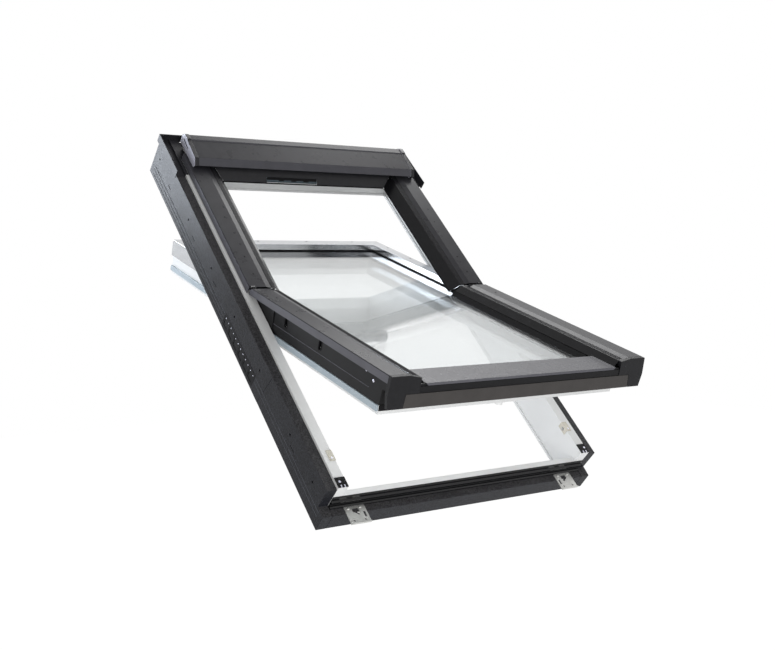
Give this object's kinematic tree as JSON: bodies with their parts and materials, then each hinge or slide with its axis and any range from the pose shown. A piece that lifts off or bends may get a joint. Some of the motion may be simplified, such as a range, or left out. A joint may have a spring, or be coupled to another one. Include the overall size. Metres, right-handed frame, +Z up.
{
  "type": "centre-pivot roof window",
  "caption": "Roof window that pivots about its middle, in an insulated frame with metal covers, a hood, side seals, a room-side handle and sliding lock bars.",
  "frame": {"origin": "middle of the frame's width and height, on the insulation's outward face, which is the roof plane", "axes": "+X to the right across the roof as seen from outside, +Y level and into the roof, +Z up; the window stands in a roof of 45 degrees"},
  "size_m": [0.792, 1.0817, 0.9228],
  "materials": {
    "white_pvc": "satin",
    "foam": "fine beaded foam",
    "black_plastic": "matt",
    "bright_steel": "bright",
    "cover_paint": "satin powder coat",
    "cover_plastic": "satin",
    "rubber": "matt",
    "seal_rubber": "soft, slightly translucent",
    "black_metal": "satin black",
    "catch_metal": "satin",
    "galvanised": "galvanised",
    "hinge_steel": "black zinc",
    "lock_steel": "zinc plated",
    "dark_screw": "black zinc",
    "bare_aluminium": "mill finish",
    "clear_glass": "clear",
    "white_plastic": "satin"
  },
  "bodies": {
    "frame": {"frame_profile": "white_pvc", "insulation_left_upper": "foam", "insulation_left_lower": "foam", "insulation_right_upper": "foam", "insulation_right_lower": "foam", "insulation_top": "foam", "insulation_bottom": "foam", "fixing_plate_left": "black_plastic", "fixing_plate_right": "black_plastic", "fixing_rivets": "bright_steel", "frame_cover_left": "cover_paint", "frame_cover_right": "cover_paint", "frame_cover_gasket": "rubber", "hood": "cover_paint", "hood_cap_left": "cover_plastic", "hood_cap_right": "cover_plastic", "head_strip": "black_metal", "head_catch": "catch_metal", "corner_channel_left": "cover_paint", "corner_channel_right": "cover_paint", "sill_profile": "black_plastic", "bracket_left": "galvanised", "bracket_right": "galvanised", "bracket_screws": "galvanised", "striker_left": "galvanised", "striker_right": "galvanised", "striker_screws": "bright_steel", "corner_piece_left": "black_plastic", "corner_piece_right": "black_plastic", "corner_fasteners": "bright_steel", "frame_hinge_left": "hinge_steel", "frame_hinge_right": "hinge_steel", "frame_cover_screws": "dark_screw"},
    "sash": {"sash_profile": "white_pvc", "sash_upper_rails": "bare_aluminium", "sash_shell_left": "black_metal", "sash_shell_right": "black_metal", "sash_bottom_shell": "black_metal", "glass_outer": "clear_glass", "glass_inner": "clear_glass", "glass_spacer": "bare_aluminium", "glazing_gasket": "rubber", "sash_cover_left": "cover_paint", "sash_cover_right": "cover_paint", "sash_cover_gasket": "rubber", "bottom_cover": "cover_paint", "recess_strip": "black_plastic", "front_panel": "cover_paint", "end_cap_left": "black_plastic", "end_cap_right": "black_plastic", "side_seals": "seal_rubber", "bottom_seal": "rubber", "sash_hinge_left": "hinge_steel", "sash_hinge_right": "hinge_steel", "hinge_side_plates": "black_plastic", "sash_screws": "bright_steel", "handle_base": "white_plastic"},
    "handle": {"handle": "white_plastic"},
    "lock_bar_left": {"lock_bar_left": "lock_steel"},
    "lock_bar_right": {"lock_bar_right": "lock_steel"}
  },
  "joints": [
    {"name": "sash_pivot", "type": "hinge", "parent": "frame", "child": "sash", "pos_m": [0, -0.00941, 0.02411], "axis": [-1, 0, 0], "range_deg": [-28, 122]},
    {"name": "handle_turn", "type": "hinge", "parent": "sash", "child": "handle", "pos_m": [0, -0.49054, -0.2286], "axis": [0, 0.2924, -0.9563], "range_deg": [0, 90]},
    {"name": "lock_left", "type": "slide", "parent": "sash", "child": "lock_bar_left", "axis": [-1, 0, 0], "range_m": [0, 0.009]},
    {"name": "lock_right", "type": "slide", "parent": "sash", "child": "lock_bar_right", "axis": [1, 0, 0], "range_m": [0, 0.009]}
  ],
  "couplings": [
    {"joint": "lock_left", "follows": "handle_turn", "m_per_rad": 0.0057296},
    {"joint": "lock_right", "follows": "handle_turn", "m_per_rad": 0.0057296}
  ]
}
